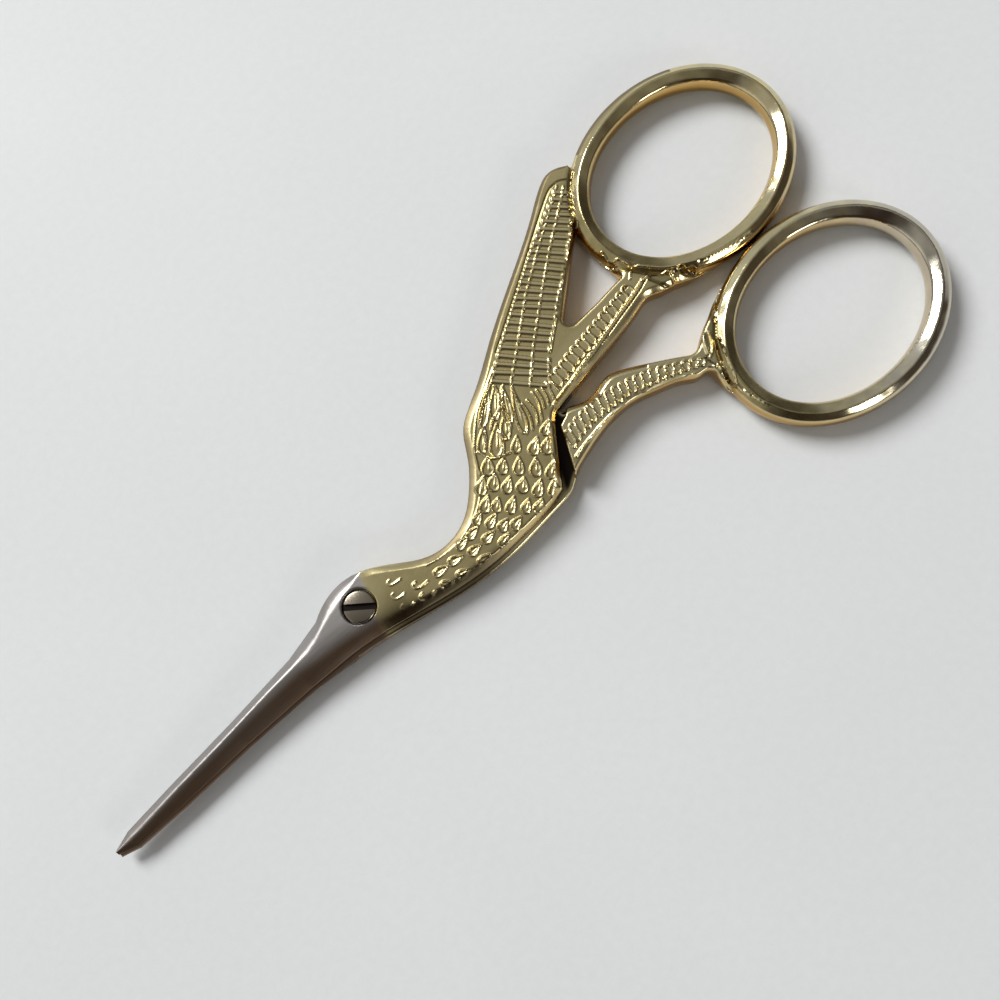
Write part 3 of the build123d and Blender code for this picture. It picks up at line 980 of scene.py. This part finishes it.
def back_piece():
    """The lower half: blade, head, body, leg and ring in one."""
    loops, upper_loops = (section_loops("back_half", height) for height in BACK_CUTS)
    outline, upper = Outline(loops), Outline(upper_loops)
    plate_edge, upper_edge = without_holes(loops, -1), without_holes(upper_loops, -1)
    run = step_run(outline, upper)
    lines = [shifted_line(run, STEP_WALL / 2), shifted_line(run, -STEP_WALL / 2)]

    def surfaces(places, rise, edge):
        inner, _ = upper_edge.nearest(places)
        drop = np.where(edge > inner + 0.01, 0.25 * np.clip(1 - inner / 0.14, 0, 1), 0.0)
        face = PARTING_BACK - 0.3 * np.clip(1 - edge / 0.35, 0, 1) ** 2 * (places[:, 0] > -4)
        raised = upper.holds(places)
        high = np.where(raised, MID + np.maximum(rise - drop, 0.05), face)
        low = np.minimum(MID - rise, high - 0.05)
        # The lower face beside the raised part's edge is painted dark as gap shade: painted shade.
        beside, _ = line_distance(places, run)
        gap_shade = smooth_step(beside, 2.2, 1.2) * smooth_step(edge, 0.25, 0.6)
        return high, low, np.where(raised, 0.0, gap_shade)

    return half_piece("back_half_dressed", outline, plate_edge, -1, lines, surfaces)


def screw_piece():
    """The pivot screw: a slotted domed head, a shoulder and a shank."""
    half_slot, reach = SLOT_WIDTH / 2, SCREW_RADIUS + 0.3
    along_slot = np.array((math.cos(SLOT_TURN), math.sin(SLOT_TURN)))
    across_slot = np.array((-along_slot[1], along_slot[0]))
    grid = np.vstack([circle(radius, 0.1)[:-1] for radius in SCREW_CIRCLES] + [np.zeros((1, 2))])
    grid = grid[np.abs(np.abs(grid @ across_slot) - half_slot) > 0.06]
    steps = np.linspace(-reach, reach, 50)[:, None]
    lines = [steps * along_slot + (side * half_slot + shift) * across_slot
             for side in (-1, 1) for shift in (-0.012, 0.012)]
    lines += [circle(radius, 0.1) for radius in (SHANK_RADIUS, SHANK_RADIUS + 0.02,
                                                 SHOULDER_RADIUS - 0.02, SHOULDER_RADIUS)]
    rim = Outline([circle(SCREW_RADIUS, 0.08)[:-1]])
    places, faces = triangles(rim, clear_of(grid, lines, 0.04), lines)
    out = np.linalg.norm(places, axis=1)
    in_slot = np.abs(places @ across_slot) < half_slot
    dome = SCREW_EDGE + SCREW_DOME * (1 - (out / SCREW_RADIUS) ** 2)
    dome -= 0.12 * np.clip((out - SCREW_RADIUS + 0.09) / 0.09, 0, 1)
    high = np.where(in_slot, SCREW_EDGE + SCREW_DOME - SLOT_DEPTH, dome)
    under = np.where(out < SHOULDER_RADIUS - 0.01, MID, SEAT_FLOOR + 0.04)
    low = np.where(out < SHANK_RADIUS + 0.01, 0.0, under)
    return solid_mesh("pivot_screw_dressed", places, faces, low, high,
                      {"slot": in_slot.astype(float)})


class Web:
    """A node tree that is written one node at a time."""

    def __init__(self, tree):
        self.tree = tree

    def feed(self, node, inputs):
        """Sets a node's inputs, each from another node's output or to a plain value."""
        for socket, source in inputs.items():
            if isinstance(source, bpy.types.NodeSocket):
                self.tree.links.new(source, node.inputs[socket])
            else:
                node.inputs[socket].default_value = source
        return node

    def add(self, kind, inputs=None, **settings):
        node = self.tree.nodes.new(kind)
        for name, value in settings.items():
            setattr(node, name, value)
        return self.feed(node, inputs or {})

    def mark(self, name):
        return self.add("ShaderNodeAttribute", attribute_name=name).outputs["Fac"]

    def place(self):
        return self.add("ShaderNodeTexCoord").outputs["Object"]

    def upright(self, direction):
        """1 where a direction points up, 0 level, -1 down."""
        return self.add("ShaderNodeSeparateXYZ", {0: direction}).outputs["Z"]

    def math(self, operation, first, second=0.0, third=0.0):
        inputs = {0: first, 1: second, 2: third}
        return self.add("ShaderNodeMath", inputs, operation=operation).outputs[0]

    def times(self, first, second, plus=None):
        """Two values multiplied, with a third added where it is given."""
        if plus is None:
            return self.math("MULTIPLY", first, second)
        return self.math("MULTIPLY_ADD", first, second, plus)

    def span(self, value, low, high, start=0.0, end=1.0):
        """A value that runs from low to high, made to run from start to end."""
        inputs = {"Value": value, "From Min": low, "From Max": high, "To Min": start, "To Max": end}
        return self.add("ShaderNodeMapRange", inputs, clamp=True).outputs["Result"]

    def mix(self, share, first, second):
        """The first colour at 0, the second at 1."""
        inputs = {0: share, 6: first, 7: second}
        return self.add("ShaderNodeMix", inputs, data_type="RGBA").outputs[2]

    def noise(self, place, scale, detail=2.0, roughness=0.5):
        inputs = {"Vector": place, "Scale": scale, "Detail": detail, "Roughness": roughness}
        return self.add("ShaderNodeTexNoise", inputs).outputs["Fac"]

    def group(self, tree):
        return self.add("ShaderNodeGroup", node_tree=tree)

    def fine_relief(self, height, strength, depth):
        inputs = {"Height": height, "Strength": strength, "Distance": depth * MM}
        return self.add("ShaderNodeBump", inputs).outputs["Normal"]


def make_group(name, inputs, outputs, build):
    """A node group from its inputs' names and defaults, its outputs' names and kinds."""
    tree = bpy.data.node_groups.new(name, "ShaderNodeTree")
    for socket, default in inputs.items():
        kind = "NodeSocketFloat" if isinstance(default, float) else "NodeSocketColor"
        made = tree.interface.new_socket(socket, in_out="INPUT", socket_type=kind)
        made.default_value = default
    for socket, kind in outputs.items():
        tree.interface.new_socket(socket, in_out="OUTPUT", socket_type="NodeSocket" + kind)
    web = Web(tree)
    entry, leave = web.add("NodeGroupInput"), web.add("NodeGroupOutput")
    web.feed(leave, build(web, entry.outputs))
    return tree


def build_satin(web, given):
    """Fine cloudy mottling of a satin metal, millimetres wide, with its own grain height."""
    place = web.place()
    cloud = web.noise(place, given["Cloud scale"], 3.0, 0.6)
    grain = web.noise(place, given["Grain scale"], 2.0, 0.6)
    return {"Clouds": web.span(cloud, 0.3, 0.7), "Grain": grain}


def build_brushing(web, given):
    """Lengthwise grinding lines and stains, stretched along the blade."""
    place, made = web.place(), []
    for along, scale, roughness in ((0.03, "Line scale", 0.7), (0.12, "Stain scale", 0.6)):
        stretch = {"Vector": place, "Scale": (along, 1.0, 1.0)}
        stretched = web.add("ShaderNodeMapping", stretch).outputs["Vector"]
        made.append(web.noise(stretched, given[scale], 3.0, roughness))
    lines, stains = made
    return {"Lines": lines, "Stains": web.span(stains, 0.42, 0.68)}


satin = make_group("Satin mottling", {"Cloud scale": 500.0, "Grain scale": 4000.0},
                   {"Clouds": "Float", "Grain": "Float"}, build_satin)
brushing = make_group("Lengthwise brushing", {"Line scale": 6000.0, "Stain scale": 500.0},
                      {"Lines": "Float", "Stains": "Float"}, build_brushing)


def build_plating(web, given):
    """Gold over steel: bright on what stands up, dull in the ground, bare on the blade."""
    satin_node, brush = web.group(satin).outputs, web.group(brushing).outputs
    clouds, grain = satin_node["Clouds"], satin_node["Grain"]
    raised, steel, worn, ground = (web.mark(name) for name in ("raised", "steel", "worn", "ground"))
    hollow = web.times(ground, web.span(raised, 0.55, 0.05))
    gold = web.mix(web.times(hollow, web.times(clouds, 0.3, 0.6)), given["Gold"], given["Ground"])
    # Grooves are painted darker: painted shade.
    gold = web.mix(web.times(web.span(raised, -0.1, -0.5), 0.6), gold, given["Groove shade"])
    uneven = web.math("ADD", worn, web.span(clouds, 0.0, 1.0, -0.25, 0.25))
    gold = web.mix(web.span(uneven, 0.2, 0.9), gold, given["Pale"])
    gold = web.mix(web.span(clouds, 0.0, 1.0, 0.0, 0.2), gold, given["Cloud"])
    # Steep walls turn amber: painted shade and warm reflection, less where the plating is worn.
    upright = web.upright(web.add("ShaderNodeNewGeometry").outputs["Normal"])
    wall_shade = web.span(web.math("ABSOLUTE", upright), 0.72, 0.2)
    wall_shade = web.times(wall_shade, web.span(worn, 0.2, 0.9, 0.9, 0.25))
    gold = web.mix(wall_shade, gold, given["Wall shade"])
    # The neck's lower slope and the bird's left edge are painted dark brown: painted shade.
    gold = web.mix(web.times(web.mark("slope_shade"), 0.85), gold, given["Slope shade"])
    # The blade's flank is painted brown: partly real staining, partly painted shade and dark
    # reflection; the random stains are real.
    stain_and_shade = web.times(web.mark("flank"), web.span(brush["Lines"], 0.35, 0.65, 0.62, 1.0))
    stain_and_shade = web.times(brush["Stains"], 0.22, stain_and_shade)
    bare = web.mix(stain_and_shade, given["Steel"], given["Stain"])
    edge = web.math("ADD", steel, web.span(clouds, 0.0, 1.0, -0.12, 0.12))
    bare_share = web.span(edge, 0.25, 0.75)
    # Near black in the gaps between the parts: painted shade.
    colour = web.mix(web.mark("gap_shade"), web.mix(bare_share, gold, bare), given["Gap shade"])
    dull = web.times(hollow, 0.12, 0.19)
    for source, amount in ((web.mark("polish"), -0.09), (web.mark("satin"), 0.26), (clouds, 0.06)):
        dull = web.times(source, amount, dull)
    brushed = web.times(brush["Lines"], 0.2, 0.29)
    rough = web.times(bare_share, web.math("SUBTRACT", brushed, dull), dull)
    grain = web.times(grain, web.span(hollow, 0.0, 1.0, 0.25, 1.0))
    height = web.mix(bare_share, grain, brush["Lines"])
    return {"Color": colour, "Roughness": rough, "Height": height}


plating = make_group(
    "Gold plating over steel",
    {"Gold": (0.83, 0.72, 0.40, 1), "Ground": (0.27, 0.225, 0.10, 1),
     # Groove shade: painted shade in the grooves.
     "Groove shade": (0.12, 0.09, 0.04, 1), "Pale": (0.66, 0.62, 0.52, 1), "Cloud": (0.3, 0.25, 0.12, 1),
     # Slope shade: painted shade, dark brown, on the neck's lower slope and the left edge.
     # Wall shade: painted shade and warm reflection on steep walls.
     "Wall shade": (0.50, 0.27, 0.05, 1), "Slope shade": (0.085, 0.058, 0.034, 1),
     # Stain and flank shade: real stains, and painted shade on the blade's flank.
     "Steel": (0.33, 0.315, 0.305, 1), "Stain": (0.235, 0.153, 0.094, 1),
     # Gap shade: painted shade, near black, in the gaps.
     "Gap shade": (0.012, 0.009, 0.007, 1)},
    {"Color": "Color", "Roughness": "Float", "Height": "Float"}, build_plating)


def new_material(name, values):
    """A material, its node tree and its shader, which gets the values that are even all over."""
    material = bpy.data.materials.new(name)
    material.use_nodes = True
    web = Web(material.node_tree)
    return material, web, web.feed(web.tree.nodes["Principled BSDF"], values)


def plated_metal(name, colours):
    """A metal that takes its colour, roughness and fine relief from the plating group."""
    material, web, shader = new_material(name, {"Metallic": 1.0})
    finish = web.feed(web.group(plating), colours).outputs
    web.feed(shader, {"Base Color": finish["Color"], "Roughness": finish["Roughness"],
                      "Normal": web.fine_relief(finish["Height"], 0.12, 0.04)})
    return material


def screw_metal():
    """Polished steel with faint turned rings, and painted shade in the slot."""
    material, web, shader = new_material("Polished screw steel", {"Metallic": 1.0})
    clouds, slot = web.group(satin).outputs["Clouds"], web.mark("slot")
    tone = web.mix(clouds, (0.33, 0.29, 0.225, 1), (0.24, 0.205, 0.16, 1))
    turned_rings = {"Vector": web.place(), "Scale": 3500.0, "Distortion": 0.6}
    rings = web.add("ShaderNodeTexWave", turned_rings, wave_type="RINGS",
                    rings_direction="Z").outputs["Fac"]
    # The slot is painted near black: painted shade.
    web.feed(shader, {"Base Color": web.mix(slot, tone, (0.02, 0.016, 0.014, 1)),
                      "Roughness": web.times(clouds, 0.1, web.span(slot, 0.0, 1.0, 0.2, 0.6)),
                      "Normal": web.fine_relief(rings, 0.05, 0.03)})
    return material


def sheet_material():
    """A pale smooth work surface with faint marks."""
    even = {"Roughness": 0.6, "Specular IOR Level": 0.3}
    material, web, shader = new_material("Pale sheet", even)
    place = web.place()
    broad = web.span(web.noise(place, 18.0, 3.0), 0.35, 0.65)
    specks = web.span(web.noise(place, 900.0, 3.0, 0.7), 0.3, 0.7)
    tone = web.mix(broad, (0.725, 0.755, 0.765, 1), (0.755, 0.775, 0.785, 1))
    tone = web.mix(web.times(specks, 0.16), tone, (0.58, 0.59, 0.6, 1))
    web.feed(shader, {"Base Color": tone})
    return material


def photo_direction(right_share, up_share, height_share):
    """A direction in the part's frame from one in the picture: right, up and off the sheet."""
    plan = turned(np.array(((right_share, up_share),)), TURN)[0]
    return Vector((plan[0], plan[1], height_share)).normalized()


def softbox(name, direction, distance, size, power, colour):
    """A round lamp that shines at the pivot from a direction."""
    data = bpy.data.lights.new(name, "AREA")
    data.shape, data.size, data.energy, data.color = "DISK", size, power, colour
    lamp = in_scene(name, data)
    lamp.location = direction * distance
    lamp.rotation_euler = direction.to_track_quat("Z", "Y").to_euler()


# What the room shows round the part: (where in the picture, how wide, brightness).
ROOM_PATCHES = (
    ((0.0, -0.85, 0.6), (0.62, 0.93), (0.035, 0.024, 0.018, 1)),
    ((-0.87, -0.45, 0.42), (0.76, 0.97), (0.66, 0.65, 0.62, 1)),
    ((-0.45, 0.75, 0.5), (0.7, 1.0), (0.45, 0.46, 0.48, 1)),
)


def room_light():
    """A soft room: pale overhead and at the horizon, dim between, with a dark doorway and
    two paler walls."""
    world = bpy.data.worlds.new("Soft room")
    bpy.context.scene.world = world
    world.use_nodes = True
    web = Web(world.node_tree)
    ray = web.add("ShaderNodeTexCoord").outputs["Generated"]
    height = web.upright(ray)
    colour = web.mix(web.span(height, 0.5, 0.98), (0.06, 0.047, 0.038, 1), (0.30, 0.295, 0.285, 1))
    colour = web.mix(web.span(height, 0.08, 0.3), (0.62, 0.625, 0.63, 1), colour)
    for place, width, glow in ROOM_PATCHES:
        facing = web.add("ShaderNodeVectorMath", {0: ray, 1: tuple(photo_direction(*place))},
                         operation="DOT_PRODUCT").outputs["Value"]
        colour = web.mix(web.span(facing, *width), colour, glow)
    web.feed(world.node_tree.nodes["Background"], {"Color": colour, "Strength": 1.0})


def floor_piece():
    """The sheet that the scissors lie on, 3 m wide."""
    half = 1.5
    mesh = bpy.data.meshes.new("sheet")
    corners = [(-half, -half, 0), (half, -half, 0), (half, half, 0), (-half, half, 0)]
    mesh.from_pydata(corners, [], [(0, 1, 2, 3)])
    mesh.materials.append(sheet_material())
    in_scene("sheet", mesh)


def add_camera():
    """The camera of the picture: straight over its foot, leaning as the picture does."""
    data = bpy.data.cameras.new("picture")
    data.sensor_width = SENSOR
    data.lens = FOCAL * SENSOR / (2 * CENTRE)
    data.clip_start, data.clip_end = 0.01, 10.0
    camera = in_scene("picture", data)
    foot = turned(-pivot_place[None, :], TURN)[0] * PIXEL_MM
    axes = np.stack((right, upward, -down), 1)
    matrix = Matrix(np.vstack((turned(axes[:, :2], TURN).T, axes[:, 2])).tolist()).to_4x4()
    matrix.translation = (foot[0] * MM, foot[1] * MM, (MID + FOCAL * PIXEL_MM) * MM)
    camera.matrix_world = matrix
    bpy.context.scene.camera = camera


add_camera()
floor_piece()
room_light()
softbox("key", photo_direction(-0.62, 0.5, 0.74), 2.2, 1.1, 48.0, (1.0, 0.995, 0.985))
softbox("fill", photo_direction(0.72, -0.66, 0.5), 1.4, 0.4, 2.6, (1.0, 0.98, 0.95))

upper_metal = plated_metal("Gold plated steel, upper half", {})
lower_metal = plated_metal("Gold plated steel, lower half", {"Gold": (0.82, 0.73, 0.44, 1)})

for piece, body, node, slot, finish in (
        (front_piece(), "front", "front_half", "gold_plated_steel", upper_metal),
        (back_piece(), "back", "back_half", "gold_plated_steel", lower_metal),
        (screw_piece(), "back", "pivot_screw", "polished_steel", screw_metal())):
    piece.data.materials.append(finish)
    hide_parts(node)
    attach(piece, body)

bpy.context.scene.view_settings.view_transform = "Standard"
